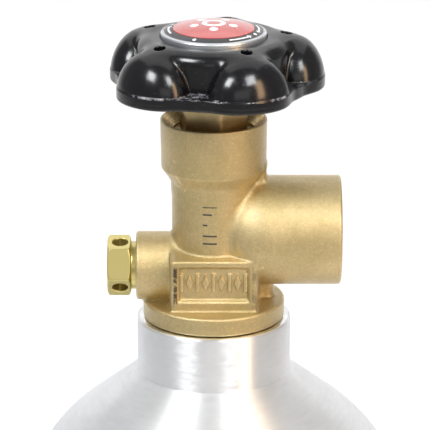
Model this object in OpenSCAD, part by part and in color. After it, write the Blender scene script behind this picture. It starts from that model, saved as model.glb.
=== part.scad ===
// High-pressure aluminium gas cylinder with a forged brass handwheel valve.
// Millimetres, +Z up. The origin is the centre of the base; the gas outlet points along +X,
// the pressure relief plug along -X, and the forged pad faces -Y. The valve is drawn closed.

/* [Cylinder] */
// Outside diameter of the cylinder
cyl_d = 133.4; // [128:0.1:140]
// Height from the base to the top face of the neck
cyl_h = 429.6; // [300:0.1:600]
// Wall thickness of the straight part
cyl_wall = 7; // [5:0.5:9]
// Thickness of the base
base_t = 12; // [9:0.5:16]
// Radius of the edge between the base and the wall
base_edge_r = 12; // [8:0.5:16]
// Outside diameter of the machined neck
neck_d = 50.8; // [49:0.1:53]
// Height of the machined neck up to the chamfer of its top
neck_h = 17.9; // [14:0.1:24]
// Slope of the shoulder just under the neck, in degrees from horizontal
shoulder_slope = 38; // [34:1:42]
// Radius of the shoulder's lower curve
shoulder_r = 59; // [54:1:62]
// Pitch diameter of the straight thread between the valve and the neck
neck_thread_d = 27.2; // [26:0.1:28]

/* [Valve body] */
// Diameter of the round flange that sits on the neck
flange_d = 46.8; // [44:0.1:48]
// Height of the flange's top face over the neck's edge
flange_top = 7; // [6:0.1:8]
// Diameter of the column
column_d = 27.5; // [26:0.1:29]
// Diameter of the collar at its lower end
collar_low_d = 34.4; // [33:0.1:36]
// Diameter of the collar at its rim
collar_top_d = 34.9; // [34:0.1:37]
// Height of the collar's rim over the neck's edge
collar_top = 68.5; // [67:0.1:70]
// Front-to-back distance over the two forged pads
pad_across = 33.4; // [32:0.1:35]
// Width of a forged pad at its face
pad_w = 27.8; // [26:0.1:29]
// Height of a pad's top edge over the neck's edge
pad_top = 24.6; // [22:0.1:26]

/* [Outlet] */
// Outside diameter of the outlet boss
outlet_d = 36.07; // [34:0.01:37]
// Height of the outlet axis over the neck's edge
outlet_z = 30.14; // [29:0.01:31]
// Distance from the valve axis to the outlet's end face
outlet_x = 41.8; // [40:0.1:44]
// Minor diameter of the outlet's internal thread
outlet_bore_d = 22.56; // [20:0.01:24]
// Depth of the outlet's threaded socket
outlet_depth = 17; // [14:0.5:18]

/* [Pressure relief] */
// Outside diameter of the relief boss
relief_boss_d = 22.6; // [21:0.1:24]
// Height of the relief axis over the neck's edge
relief_z = 17.7; // [17:0.1:18.5]
// Distance from the valve axis to the relief boss's end face
relief_x = 25.6; // [24:0.1:26.5]
// Size of the relief plug's hexagon across its flats
relief_hex_af = 17.46; // [15:0.01:18]
// Diameter of the vent holes in the relief plug
vent_d = 5.2; // [4:0.1:5.4]

/* [Stem] */
// Size of the bonnet nut's hexagon across its flats
bonnet_hex_af = 20.64; // [19:0.01:21.5]
// Diameter of the stem
stem_d = 9.5; // [9:0.1:10]
// Radial clearance of each running fit
run_clear = 0.05; // [0.02:0.01:0.08]

/* [Handwheel] */
// Diameter over the handwheel's lobes
wheel_d = 73; // [68:0.5:78]
// Number of lobes
lobes = 5; // [5:1:5]
// Polar angle of the first lobe
lobe_angle = 7.9; // [0:0.1:20]
// Height of the handwheel's underside over the neck's edge
wheel_low = 79; // [78.5:0.1:80]
// Height of the handwheel's deck over the neck's edge
wheel_deck = 96.2; // [95.6:0.1:97]
// Diameter of the label plate
label_d = 34.4; // [30:0.1:36]

/* [Hidden] */
$fn = 96;
EPS = 0.02;

// Cylinder profile
cyl_r = cyl_d / 2;
neck_r = neck_d / 2;
neck_chamfer = 0.6;
neck_edge = cyl_h - neck_chamfer;                       // lower edge of the chamfer
neck_low = neck_edge - neck_h;
shoulder_cr = cyl_r - shoulder_r;                       // centre of the shoulder's curve
cone_r = shoulder_cr + shoulder_r * sin(shoulder_slope);    // where the curve meets the cone
cone_rise = (cone_r - neck_r) * tan(shoulder_slope);
shoulder_z = neck_low - cone_rise - shoulder_r * cos(shoulder_slope);
dish_r = 38;
dish_h = 1.2;
inner_r = cyl_r - cyl_wall;
inner_shoulder_r = 48;
inner_edge_r = 14;
thread_r = neck_thread_d / 2;
gland_r = 16.1;                 // counterbore for the neck seal
gland_h = 2.2;

// Valve body, heights over the neck's edge
land_r = 20.5;                  // ring that bears on the neck's face
land_h = 1;
shank_len = 25;
column_r = column_d / 2;
cone_low = 47.4;
cone_top = 52.2;
mouth_r = 16.9;                 // wide end of the chamfer in the collar's rim
bonnet_r = 13.4;                // thread of the bonnet nut
mouth_h = mouth_r - bonnet_r;
ledge_z = 52;                   // shelf that carries the bonnet gasket
stem_room_r = 9.8;
plug_room_z = 46;
plug_r = 8;
seat_floor = 25;
seat_z = 26;                    // face of the seat ring
seat_ring_r = 4.6;
inlet_r = 3.2;
passage_r = 3;
pad_y = pad_across / 2;
pad_h = pad_top - flange_top;
frame_w = 23.2;                 // recess in each pad
frame_h = 11.6;
frame_z = 16.4;
frame_depth = 1.2;
mark_n = 9;                     // plain raised bars in the recess
mark_pitch = 2.4;
mark_h = 6.4;
rib_x = 19.8;
rib_t = 5;
web_t = 9.6;
edge_c = 0.8;

// Relief plug, distances from the valve axis
relief_boss_r = relief_boss_d / 2;
relief_r = 7.9;
relief_seat_x = 13;
relief_hex_x = 27.4;
relief_end_x = 35.1;
relief_bore_r = 4;
relief_turn = -10;               // how far the tightened plug stands from upright
vent_x = 30.9;
disc_t = 0.3;
disc_gasket_t = 0.8;

// Stem stack, heights over the neck's edge
stem_r = stem_d / 2;
gasket_t = 0.8;
bonnet_low = ledge_z + gasket_t;
bonnet_shelf = 64.5;            // underside of the hexagon
bonnet_hex_top = 74;
bonnet_top = 76;
bonnet_boss_r = 9;
ring_z = 70;                    // middle of the stem's seal groove
groove_h = 3.4;
groove_r = 3.3;
stem_flange_r = 9.4;
stem_flange_z = 48.6;
thrust_t = 0.8;
square_af = 7;
square_low = 77.5;
hub_low = 82.5;
hub_top = 88;
nut_thread_r = 2.95;
stem_top = 94.2;
tang_low = 40.8;
tang_t = 3;
tang_w = 11;
slot_gap = 0.15;
plug_low = 26.7;
plug_nose_r = 6;
plug_thread_z = 33.6;
plug_top = 44;
slot_floor = 36;
insert_r = 5.2;
insert_t = 2.6;

// Handwheel
wheel_r = wheel_d / 2;
lobe_r = 10.2;
lobe_c = wheel_r - lobe_r;
scoop_c = 37.2;
scoop_r = 12.4;
deck_r = 24.5;
rim_round = 6;
skirt_round = 2;
label_r = label_d / 2;
label_gap = 0.3;
label_floor = 95.2;
dome_r = 52;                    // shared by the label plate and its badge
dome_top = 100.4;
badge_r = 13.2;
badge_floor = 97;
hub_r = 10;
pocket_r = 9;
dimple_r = 1.85;
dimple_c = 24.3;
dimple_depth = 2.5;
spring_r = 6.3;
spring_wire_r = 0.7;
spring_turns = 3.5;
spring_steps = 20;
spring_sides = 8;

// Points along an arc about (cr, cz), from angle a0 to a1
function arc(cr, cz, r, a0, a1, n = 20) =
    [for (i = [0:n]) let (a = a0 + (a1 - a0) * i / n) [cr + r * cos(a), cz + r * sin(a)]];

// Height over the edge of the neck, where its chamfer starts
module over_neck(z = 0) {
    translate([0, 0, neck_edge + z]) children();
}

// A cylinder on the valve axis between two heights
module post(low, high, r) {
    translate([0, 0, low]) cylinder(h = high - low, r = r);
}

// A cone on the valve axis between two heights
module taper(low, high, r_low, r_high) {
    translate([0, 0, low]) cylinder(h = high - low, r1 = r_low, r2 = r_high);
}

// A cylinder or cone along +X between two distances, at height z
module along_x(x0, x1, z, r0, r1) {
    translate([x0, 0, z]) rotate([0, 90, 0]) cylinder(h = x1 - x0, r1 = r0, r2 = r1);
}

// A flat ring on the valve axis
module washer(low, high, r_out, r_in) {
    difference() {
        post(low, high, r_out);
        post(low - 1, high + 1, r_in);
    }
}

// A round-section ring on the valve axis
module o_ring(z, r_mid, r_wire) {
    translate([0, 0, z]) rotate_extrude() translate([r_mid, 0]) circle(r = r_wire, $fn = 32);
}

// A hexagonal prism on the valve axis with turned corners
module hex_bar(low, high, af, turn = 0) {
    corner_r = af / sqrt(3);
    bevel = (corner_r - af / 2) * 0.6;
    intersection() {
        rotate([0, 0, turn]) translate([0, 0, low]) cylinder(h = high - low, r = corner_r, $fn = 6);
        union() {
            post(low + bevel, high - bevel, corner_r + 0.1);
            taper(high - bevel - EPS, high, corner_r + 0.1, af / 2 + 0.2);
            taper(low, low + bevel + EPS, af / 2 + 0.2, corner_r + 0.1);
        }
    }
}

// Aluminium cylinder: base, wall, domed shoulder and threaded neck
module cylinder_shell() {
    outer = concat(
        [[0, dish_h], [dish_r, dish_h], [dish_r + 4, 0]],
        arc(cyl_r - base_edge_r, base_edge_r, base_edge_r, -90, 0, 12),
        arc(shoulder_cr, shoulder_z, shoulder_r, 0, 90 - shoulder_slope, 24),
        [[neck_r, neck_low], [neck_r, neck_edge], [neck_r - neck_chamfer, cyl_h]]
    );
    inner = concat(
        [[gland_r, cyl_h], [gland_r, cyl_h - gland_h], [thread_r + run_clear, cyl_h - gland_h]],
        [[thread_r + run_clear, shoulder_z + inner_shoulder_r - EPS]],
        arc(inner_r - inner_shoulder_r, shoulder_z, inner_shoulder_r, 86, 0, 20),
        arc(inner_r - inner_edge_r, base_t + inner_edge_r, inner_edge_r, 0, -90, 10),
        [[0, base_t]]
    );
    color([0.86, 0.87, 0.88]) rotate_extrude() polygon(concat(outer, inner));
}

// Seal in the neck's counterbore
module neck_o_ring() {
    color([0.1, 0.1, 0.1]) over_neck(neck_chamfer - gland_h / 2) o_ring(0, (gland_r + thread_r) / 2, 1.05);
}

// Outside of one forged pad, with a sloping top
module pad_block() {
    intersection() {
        translate([0, 0, flange_top - 1])
            linear_extrude(pad_h + 9)
                polygon([[-pad_w / 2, -pad_y], [pad_w / 2, -pad_y], [pad_w / 2 + 1, 0], [-pad_w / 2 - 1, 0]]);
        translate([pad_w, 0, 0]) rotate([90, 0, -90])
            linear_extrude(2 * pad_w)
                polygon([[0, 0], [pad_y + 1, 0], [pad_y + 1, pad_top - 1], [pad_y - 1, pad_top],
                         [column_r - 2, pad_top + 0.6], [0, pad_top + 0.6]]);
    }
}

// Recess of one pad
module pad_recess() {
    translate([-frame_w / 2, -pad_y - 1, frame_z - frame_h / 2]) cube([frame_w, 1 + frame_depth, frame_h]);
}

// Plain raised bars inside the front recess
module pad_marks() {
    for (i = [0:mark_n - 1])
        translate([(i - (mark_n - 1) / 2) * mark_pitch - 0.6, -pad_y + 0.5, frame_z - mark_h / 2])
            cube([1.2, frame_depth, mark_h]);
}

// Forged body before it is machined
module valve_forging() {
    post(-shank_len, land_h, thread_r);
    post(neck_chamfer, land_h + 1, land_r);
    taper(land_h, land_h + edge_c, flange_d / 2 - edge_c, flange_d / 2);
    post(land_h + edge_c, flange_top - edge_c, flange_d / 2);
    taper(flange_top - edge_c, flange_top, flange_d / 2, flange_d / 2 - edge_c);
    post(land_h, cone_low + 1, column_r);
    taper(cone_low, cone_top, column_r, collar_low_d / 2);
    taper(cone_top, collar_top, collar_low_d / 2, collar_top_d / 2);
    along_x(0, outlet_x - 1, outlet_z, outlet_d / 2, outlet_d / 2);
    along_x(outlet_x - 1, outlet_x, outlet_z, outlet_d / 2, outlet_d / 2 - 1);
    along_x(-relief_x + edge_c, 0, relief_z, relief_boss_r, relief_boss_r);
    along_x(-relief_x, -relief_x + edge_c, relief_z, relief_boss_r - edge_c, relief_boss_r);
    translate([0, -rib_t / 2, flange_top - 1]) cube([rib_x - rib_t / 2, rib_t, 9]);
    post_x = rib_x - rib_t / 2;
    translate([post_x, 0, flange_top - 1]) cylinder(h = 9, r = rib_t / 2);
    translate([-flange_d / 2 + 2, -web_t / 2, flange_top - 1]) cube([flange_d / 2, web_t, 4]);
    for (side = [0, 180]) rotate([0, 0, side]) difference() {
        pad_block();
        pad_recess();
    }
    pad_marks();
}

// Forged and machined brass valve body
module valve_body() {
    color([0.80, 0.69, 0.44]) over_neck() difference() {
        valve_forging();
        // Bonnet room, stem room and plug room
        taper(collar_top - mouth_h, collar_top + EPS, bonnet_r, mouth_r + EPS);
        post(ledge_z, collar_top, bonnet_r);
        post(plug_room_z, ledge_z + 1, stem_room_r);
        difference() {
            post(seat_floor, plug_room_z + 1, plug_r);
            post(seat_floor - 1, seat_z, seat_ring_r);
        }
        // Gas way from the cylinder to the seat
        post(-shank_len - 1, seat_z + 1, inlet_r);
        // Outlet socket with its conical seat
        along_x(0, outlet_x, outlet_z, passage_r, passage_r);
        along_x(outlet_x - outlet_depth, outlet_x + 1, outlet_z, outlet_bore_d / 2, outlet_bore_d / 2);
        along_x(outlet_x - outlet_depth - 6, outlet_x - outlet_depth + EPS, outlet_z, passage_r, 8.5);
        // Relief socket
        along_x(-relief_seat_x - 1, 0, relief_z, 2, 2);
        along_x(-relief_x - 1, -relief_seat_x, relief_z, relief_r + run_clear, relief_r + run_clear);
    }
}

// Flat seal under the bonnet nut
module bonnet_gasket() {
    color([0.75, 0.42, 0.25]) over_neck() washer(ledge_z, bonnet_low, bonnet_r - 0.2, stem_room_r + 0.2);
}

// Nut that closes the body and guides the stem
module bonnet_nut() {
    color([0.66, 0.52, 0.26]) over_neck() difference() {
        union() {
            post(bonnet_low, bonnet_shelf, bonnet_r - run_clear);
            hex_bar(bonnet_shelf - 0.5, bonnet_hex_top, bonnet_hex_af, 40);
            post(bonnet_hex_top - 1, bonnet_top, bonnet_boss_r);
        }
        post(bonnet_low - 1, bonnet_top + 1, stem_r + run_clear);
    }
}

// Washer between the bonnet nut and the handwheel spring
module spring_washer() {
    color([0.82, 0.82, 0.80]) over_neck() washer(bonnet_top, bonnet_top + 0.8, 8.6, stem_r + 0.4);
}

// Vented hexagon plug that holds the burst disc
module relief_plug() {
    hex_low = relief_hex_x;
    color([0.74, 0.66, 0.33]) over_neck(relief_z) rotate([0, -90, 0]) rotate([0, 0, relief_turn]) difference() {
        union() {
            post(relief_seat_x + disc_t + disc_gasket_t, hex_low + 0.5, relief_r);
            hex_bar(hex_low, relief_end_x, relief_hex_af, 30);
        }
        post(relief_seat_x, vent_x + vent_d / 2, relief_bore_r);
        for (a = [0, 120, 240])
            translate([0, 0, vent_x]) rotate([0, 0, a]) rotate([0, 90, 0])
                cylinder(h = relief_hex_af, r = vent_d / 2);
    }
}

// Thin metal disc that bursts at too high a pressure
module burst_disc() {
    color([0.72, 0.72, 0.70]) over_neck(relief_z)
        along_x(-relief_seat_x - disc_t, -relief_seat_x, 0, relief_r - 0.2, relief_r - 0.2);
}

// Sealing ring between the burst disc and the relief plug
module burst_gasket() {
    low = relief_seat_x + disc_t;
    color([0.72, 0.42, 0.25]) over_neck(relief_z) rotate([0, -90, 0])
        washer(low, low + disc_gasket_t, relief_r - 0.2, relief_bore_r);
}

// Stem that carries the handwheel and turns the lower plug by its tang
module stem() {
    groove_low = ring_z - groove_h / 2;
    color([0.72, 0.60, 0.33]) over_neck() difference() {
        union() {
            post(stem_flange_z, bonnet_low - thrust_t - 0.1, stem_flange_r);
            post(stem_flange_z, square_low, stem_r);
            translate([-square_af / 2, -square_af / 2, square_low - 0.5])
                cube([square_af, square_af, hub_top - square_low + 0.4]);
            post(hub_top - 0.5, stem_top, nut_thread_r);
            translate([-tang_w / 2, -tang_t / 2, tang_low]) cube([tang_w, tang_t, stem_flange_z - tang_low + 1]);
        }
        washer(groove_low, groove_low + groove_h, stem_r + 1, groove_r);
    }
}

// Seal between the stem and the bonnet nut
module stem_o_ring() {
    wire = (stem_r - groove_r) / 2;
    color([0.12, 0.12, 0.12]) over_neck() o_ring(ring_z - groove_h / 2 + wire + 0.05, groove_r + wire, wire - 0.01);
}

// Stiff ring that keeps the stem seal in its groove
module stem_backup_ring() {
    top = ring_z + groove_h / 2;
    color([0.93, 0.93, 0.90]) over_neck() washer(top - 1.2, top - 0.05, stem_r, groove_r + 0.05);
}

// Slippery washer between the stem's flange and the bonnet nut
module stem_thrust_washer() {
    color([0.93, 0.93, 0.90]) over_neck()
        washer(bonnet_low - thrust_t - 0.08, bonnet_low - 0.05, stem_flange_r, stem_r + 0.1);
}

// Coil that pushes the handwheel and stem up against the bonnet
module wheel_spring() {
    low = bonnet_top + 0.8 + spring_wire_r + 0.1;
    high = hub_low - spring_wire_r - 0.05;
    n = ceil(spring_turns * spring_steps);
    points = [
        for (i = [0:n]) let (a = 360 * spring_turns * i / n)
        for (j = [0:spring_sides - 1]) let (b = 360 * j / spring_sides, r = spring_r + spring_wire_r * cos(b))
            [r * cos(a), r * sin(a), low + (high - low) * i / n + spring_wire_r * sin(b)]
    ];
    sides = [
        for (i = [0:n - 1]) for (j = [0:spring_sides - 1])
            let (k = (j + 1) % spring_sides, p = i * spring_sides, q = p + spring_sides)
            [p + j, q + j, q + k, p + k]
    ];
    first = [for (j = [0:spring_sides - 1]) j];
    last = [for (j = [spring_sides - 1:-1:0]) n * spring_sides + j];
    color([0.70, 0.70, 0.72]) over_neck() polyhedron(points, concat(sides, [first, last]), convexity = 8);
}

// Outline of the handwheel seen from above
module wheel_outline() {
    difference() {
        union() {
            circle(r = deck_r + 2);
            for (i = [0:lobes - 1]) rotate(lobe_angle + 360 / lobes * i) union() {
                translate([lobe_c, 0]) circle(r = lobe_r);
                translate([lobe_c - 6, -lobe_r - 1]) square([5, 2 * lobe_r + 2]);
            }
        }
        for (i = [0:lobes - 1])
            rotate(lobe_angle + 360 / lobes * (i + 0.5)) translate([scoop_c, 0]) circle(r = scoop_r);
    }
}

// Five-lobed moulded handwheel
module handwheel() {
    profile = concat(
        [[0, wheel_low]],
        arc(wheel_r + 0.1 - skirt_round, wheel_low + skirt_round, skirt_round, -90, 0, 4),
        arc(wheel_r + 0.1 - rim_round, wheel_deck - rim_round, rim_round, 0, 90, 8),
        [[0, wheel_deck]]
    );
    color([0.07, 0.07, 0.08]) over_neck() difference() {
        intersection() {
            translate([0, 0, wheel_low - 1]) linear_extrude(wheel_deck - wheel_low + 2) wheel_outline();
            rotate_extrude() polygon(profile);
        }
        post(label_floor, wheel_deck + 1, label_r + label_gap);
        post(hub_top, label_floor + 1, pocket_r);
        post(wheel_low - 1, hub_top + 0.1, hub_r + 0.05);
        for (i = [0:lobes - 1])
            rotate([0, 0, lobe_angle + 360 / lobes * i]) translate([dimple_c, 0, wheel_deck - dimple_depth])
                cylinder(h = dimple_depth + 1, r = dimple_r);
    }
}

// Metal hub moulded into the handwheel, with a square hole for the stem
module wheel_hub() {
    hole = square_af + 0.1;
    color([0.75, 0.64, 0.36]) over_neck() difference() {
        post(hub_low, hub_top, hub_r);
        translate([-hole / 2, -hole / 2, hub_low - 1]) cube([hole, hole, hub_top - hub_low + 2]);
    }
}

// Washer under the handwheel nut
module wheel_washer() {
    color([0.82, 0.82, 0.80]) over_neck() washer(hub_top, hub_top + 1, 6.8, nut_thread_r + 0.1);
}

// Nut that holds the handwheel on the stem
module wheel_nut() {
    color([0.80, 0.80, 0.82]) over_neck() difference() {
        hex_bar(hub_top + 1, hub_top + 6, 10, 10);
        post(hub_top, hub_top + 7, nut_thread_r + run_clear);
    }
}

// Everything under the label's domed face
module label_dome() {
    translate([0, 0, dome_top - dome_r]) sphere(r = dome_r, $fn = 200);
}

// Domed aluminium plate in the middle of the handwheel
module label_plate() {
    color([0.80, 0.82, 0.84]) over_neck() difference() {
        intersection() {
            post(label_floor, dome_top, label_r);
            label_dome();
        }
        post(badge_floor, dome_top + 1, badge_r + 0.1);
    }
}

// Badge set flush into the label plate
module label_badge() {
    color([0.85, 0.22, 0.20]) over_neck() intersection() {
        post(badge_floor, dome_top + 1, badge_r);
        label_dome();
    }
}

// Screwed plug that closes the seat; it rises as the stem turns it open
module seat_plug() {
    slot_w = tang_t + 2 * slot_gap;
    color([0.76, 0.65, 0.38]) over_neck() difference() {
        union() {
            post(plug_low, plug_thread_z + 0.5, plug_nose_r);
            post(plug_thread_z, plug_top, plug_r - run_clear);
        }
        translate([-plug_r - 1, -slot_w / 2, slot_floor]) cube([2 * plug_r + 2, slot_w, plug_top]);
        post(plug_low - 1, plug_low + insert_t - 0.6, insert_r + 0.02);
    }
}

// Plastic seat insert that meets the body's seat ring
module seat_insert() {
    color([0.92, 0.90, 0.82]) over_neck() post(seat_z + 0.02, plug_low + insert_t - 0.62, insert_r);
}

cylinder_shell();
neck_o_ring();
valve_body();
bonnet_gasket();
bonnet_nut();
spring_washer();
relief_plug();
burst_disc();
burst_gasket();
stem();
stem_o_ring();
stem_backup_ring();
stem_thrust_washer();
wheel_spring();
handwheel();
wheel_hub();
wheel_washer();
wheel_nut();
label_plate();
label_badge();
seat_plug();
seat_insert();
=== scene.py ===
"""Aluminium gas cylinder with a forged brass handwheel valve, finished around its packed frame.

Sizes are in metres, in the frame's own axes: +Z up, outlet along +X, forged pad facing -Y.
"""

import math

import bpy
import numpy as np
import openvdb
from mathutils import Matrix, Vector


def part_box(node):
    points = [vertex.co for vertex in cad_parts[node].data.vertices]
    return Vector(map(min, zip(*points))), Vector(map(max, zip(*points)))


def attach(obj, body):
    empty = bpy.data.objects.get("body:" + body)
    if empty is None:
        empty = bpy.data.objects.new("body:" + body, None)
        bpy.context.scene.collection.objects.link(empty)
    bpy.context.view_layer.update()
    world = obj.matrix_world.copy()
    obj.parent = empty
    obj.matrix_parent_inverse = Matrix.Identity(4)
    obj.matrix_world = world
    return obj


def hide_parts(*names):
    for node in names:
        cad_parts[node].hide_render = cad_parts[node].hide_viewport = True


bl_info = {
    "name": "Gas Cylinder and Handwheel Valve",
    "version": (1, 0, 0),
    "blender": (4, 5, 0),
    "location": "3D View > Sidebar > Cylinder",
    "description": "Builds the visible pieces of a gas cylinder with a forged handwheel valve",
    "category": "Add Mesh",
}

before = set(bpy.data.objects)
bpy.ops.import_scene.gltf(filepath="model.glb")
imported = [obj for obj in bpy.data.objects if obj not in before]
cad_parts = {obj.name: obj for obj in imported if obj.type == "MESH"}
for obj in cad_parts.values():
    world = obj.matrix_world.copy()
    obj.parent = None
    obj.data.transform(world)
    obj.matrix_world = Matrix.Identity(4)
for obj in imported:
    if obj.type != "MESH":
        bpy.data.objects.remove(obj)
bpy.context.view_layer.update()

MM = 0.001
SHELL_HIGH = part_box("cylinder_shell")[1]
BODY_LOW, BODY_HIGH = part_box("valve_body")
NUT_LOW, NUT_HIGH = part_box("bonnet_nut")
PLUG_LOW, PLUG_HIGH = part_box("relief_plug")
WHEEL_LOW, WHEEL_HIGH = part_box("handwheel")
PLATE_LOW, PLATE_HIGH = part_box("label_plate")
BADGE_LOW, BADGE_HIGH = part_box("label_badge")
NECK_EDGE = 0.6 * MM
NECK_TOP = SHELL_HIGH.z - NECK_EDGE     # heights are over this edge, where the chamfer starts
DOME_RADIUS = 52 * MM                   # of the label's face


# ---------------------------------------------- sizes that a user may change


def length_prop(name, description, millimetres):
    """A length that a user may change."""
    return bpy.props.FloatProperty(
        name=name, description=description, default=millimetres * MM, unit="LENGTH")


def angle_prop(name, description, degrees):
    """An angle that a user may change."""
    return bpy.props.FloatProperty(
        name=name, description=description, default=math.radians(degrees), subtype="ANGLE")


def colour_prop(name, description, default):
    """A colour that a user may change."""
    return bpy.props.FloatVectorProperty(
        name=name, description=description, default=default, subtype="COLOR", size=3, min=0, max=1)


class CylinderSettings(bpy.types.PropertyGroup):
    """Sizes of the aluminium cylinder."""

    neck_radius: length_prop("Neck radius", "Radius of the machined neck", 25.4)
    neck_height: length_prop("Neck height", "Height of the machined neck", 17.9)
    shoulder_slope: angle_prop("Shoulder slope", "Slope of the shoulder just under the neck", 38)
    shoulder_radius: length_prop("Shoulder radius", "Radius of the shoulder's lower curve", 59)
    base_edge: length_prop("Base edge", "Radius between the base and the wall", 12)
    metal: colour_prop("Metal", "Colour of the bare aluminium", (0.92, 0.93, 0.94))


class ValveSettings(bpy.types.PropertyGroup):
    """Sizes of the forged valve body. Heights are over the neck's edge."""

    flange_radius: length_prop("Flange radius", "Radius of the flange on the neck", 23.4)
    flange_top: length_prop("Flange top", "Height of the flange's top face", 7)
    column_radius: length_prop("Column radius", "Radius of the column", 13.75)
    collar_radius: length_prop("Collar radius", "Radius of the collar at its rim", 17.45)
    outlet_radius: length_prop("Outlet radius", "Radius of the outlet boss", 18.03)
    outlet_height: length_prop("Outlet height", "Height of the outlet's axis", 30.14)
    outlet_round: length_prop(
        "Outlet round", "Distance from the axis to the middle of the outlet boss's round end", 18)
    outlet_bore: length_prop(
        "Outlet bore", "Radius at the crests of the outlet's thread", 11.28)
    relief_height: length_prop("Relief height", "Height of the relief plug's axis", 17.7)
    relief_radius: length_prop("Relief boss radius", "Radius of the relief boss", 11.3)
    relief_turn: angle_prop(
        "Relief plug turn", "Turn of the tightened relief plug about its axis", 20)
    pad_depth: length_prop("Pad depth", "Distance from the valve's axis to a pad's face", 16.7)
    pad_half_width: length_prop("Pad half width", "Half the width of a pad's face", 13.9)
    fillet: length_prop("Fillet", "Size of the fillets where forged shapes meet", 1.7)
    grain_step: length_prop(
        "Mesh step", "Spacing of the points that the forging is meshed from", 0.3)
    brass: colour_prop("Brass", "Colour of the blasted brass", (0.69, 0.545, 0.28))


class WheelSettings(bpy.types.PropertyGroup):
    """Sizes of the handwheel and its label. Heights are over the neck's edge."""

    lobes: bpy.props.IntProperty(
        name="Lobes", description="Number of finger lobes", default=5, min=3)
    lobe_angle: angle_prop("Lobe angle", "Angle of the first lobe from +X", 6.9)
    lobe_centre: length_prop("Lobe centre", "Distance from the axis to a lobe's middle", 26.2)
    lobe_radial: length_prop("Lobe depth", "Half size of a lobe away from the axis", 10)
    lobe_across: length_prop("Lobe width", "Half size of a lobe across", 13.7)
    lobe_widest: length_prop(
        "Lobe's widest height", "Height under which a lobe's sides are upright", 81.4)
    lobe_top: length_prop("Lobe top", "Height of a lobe's crown", 95.4)
    deck_radius: length_prop("Deck radius", "Radius of the round middle", 25)
    skirt_radius: length_prop("Skirt radius", "Radius of the skirt between the lobes", 31.4)
    parting_height: length_prop("Parting height", "Height of the mould's parting line", 83.1)
    plastic: colour_prop("Plastic", "Colour of the moulded plastic", (0.003, 0.003, 0.004))
    badge: colour_prop("Badge", "Colour of the badge's ground", (0.40, 0.05, 0.047))


class StageSettings(bpy.types.PropertyGroup):
    """The plain studio around the cylinder."""

    view_down: angle_prop("View down", "How far the camera looks down", 18.31)
    distance: length_prop("Distance", "Distance from the camera to its target", 926.3)
    target_height: length_prop(
        "Target height", "Height of the camera's target over the neck", 35.12)
    lens: bpy.props.FloatProperty(
        name="Lens", description="Focal length on a 36 mm sensor", default=235.4)
    softbox_glow: bpy.props.FloatProperty(
        name="Softbox glow", description="Radiance of the two main softboxes", default=18.0)


SETTINGS = {
    "cylinder_sizes": CylinderSettings,
    "valve_sizes": ValveSettings,
    "wheel_sizes": WheelSettings,
    "stage_sizes": StageSettings,
}


# ---------------------------------------------- shapes as signed distances


def join(a, b, blend=0.0):
    """Union of two shapes, with a fillet of about the blend's size."""
    if np.max(blend) <= 0:
        return np.minimum(a, b)
    h = np.maximum(blend - np.abs(a - b), 0) / blend
    return np.minimum(a, b) - h * h * blend / 4


def common(a, b, blend=0.0):
    """Space inside both shapes, with the edge rounded by about the blend's size."""
    return -join(-a, -b, blend)


def cut(a, b, blend=0.0):
    """Shape a without shape b."""
    return -join(-a, b, blend)


def slab(radius, height, wide, low, high, edge):
    """A round slab with rounded edges; radius and height are the point's own."""
    middle, half = (low + high) / 2, (high - low) / 2
    out = radius - wide + edge
    up = np.abs(height - middle) - half + edge
    inside = np.minimum(np.maximum(out, up), 0)
    return inside + np.hypot(np.maximum(out, 0), np.maximum(up, 0)) - edge


def block(x, y, z, low, high, edge):
    """A box between two corners with rounded edges."""
    sides = []
    for value, a, b in zip((x, y, z), low, high):
        sides.append(np.abs(value - (a + b) / 2) - (b - a) / 2 + edge)
    inside = np.minimum(np.maximum(np.maximum(sides[0], sides[1]), sides[2]), 0)
    away = np.sqrt(sum(np.maximum(s, 0) ** 2 for s in sides))
    return inside + away - edge


def turned(radius, height, points):
    """A turned shape: a closed outline of (radius, height) points swept about the axis."""
    nearest = np.full(radius.shape, np.inf)
    inside = np.zeros(radius.shape, bool)
    for (r0, h0), (r1, h1) in zip(points, points[1:] + points[:1]):
        dr, dh = r1 - r0, h1 - h0
        along = np.clip(((radius - r0) * dr + (height - h0) * dh) / (dr * dr + dh * dh), 0, 1)
        away = (radius - r0 - along * dr) ** 2 + (height - h0 - along * dh) ** 2
        nearest = np.minimum(nearest, away)
        if dh:
            crossing = (h0 <= height) != (h1 <= height)
            inside ^= crossing & (radius < r0 + (height - h0) / dh * dr)
    return np.where(inside, -1, 1) * np.sqrt(nearest)


def hexagon(a, b, across_flats, turn):
    """Distance to a hexagon's sides, in the plane of a and b."""
    far = np.full(a.shape, -np.inf)
    for k in range(6):
        angle = turn + math.pi / 3 * k
        far = np.maximum(far, a * math.cos(angle) + b * math.sin(angle))
    return far - across_flats / 2


def dome(a, b, c, half_a, half_b, half_c):
    """An ellipsoid with these half sizes."""
    near = np.sqrt((a / half_a) ** 2 + (b / half_b) ** 2 + (c / half_c) ** 2)
    steep = np.sqrt((a / half_a**2) ** 2 + (b / half_b**2) ** 2 + (c / half_c**2) ** 2)
    return near * (near - 1) / np.maximum(steep, 1e-6)


def slope(field, points, step):
    """Value and gradient of a shape's distance at each point."""
    x, y, z = points.T
    e = step * 0.25
    value = field(x, y, z)
    gradient = np.stack([
        (field(x + e, y, z) - field(x - e, y, z)) / (2 * e),
        (field(x, y + e, z) - field(x, y - e, z)) / (2 * e),
        (field(x, y, z + e) - field(x, y, z - e)) / (2 * e),
    ], axis=1)
    return value, gradient


def new_mesh(name, verts, faces):
    """A mesh from its points and faces."""
    mesh = bpy.data.meshes.new(name)
    mesh.from_pydata(verts, [], faces)
    mesh.update()
    return mesh


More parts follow.
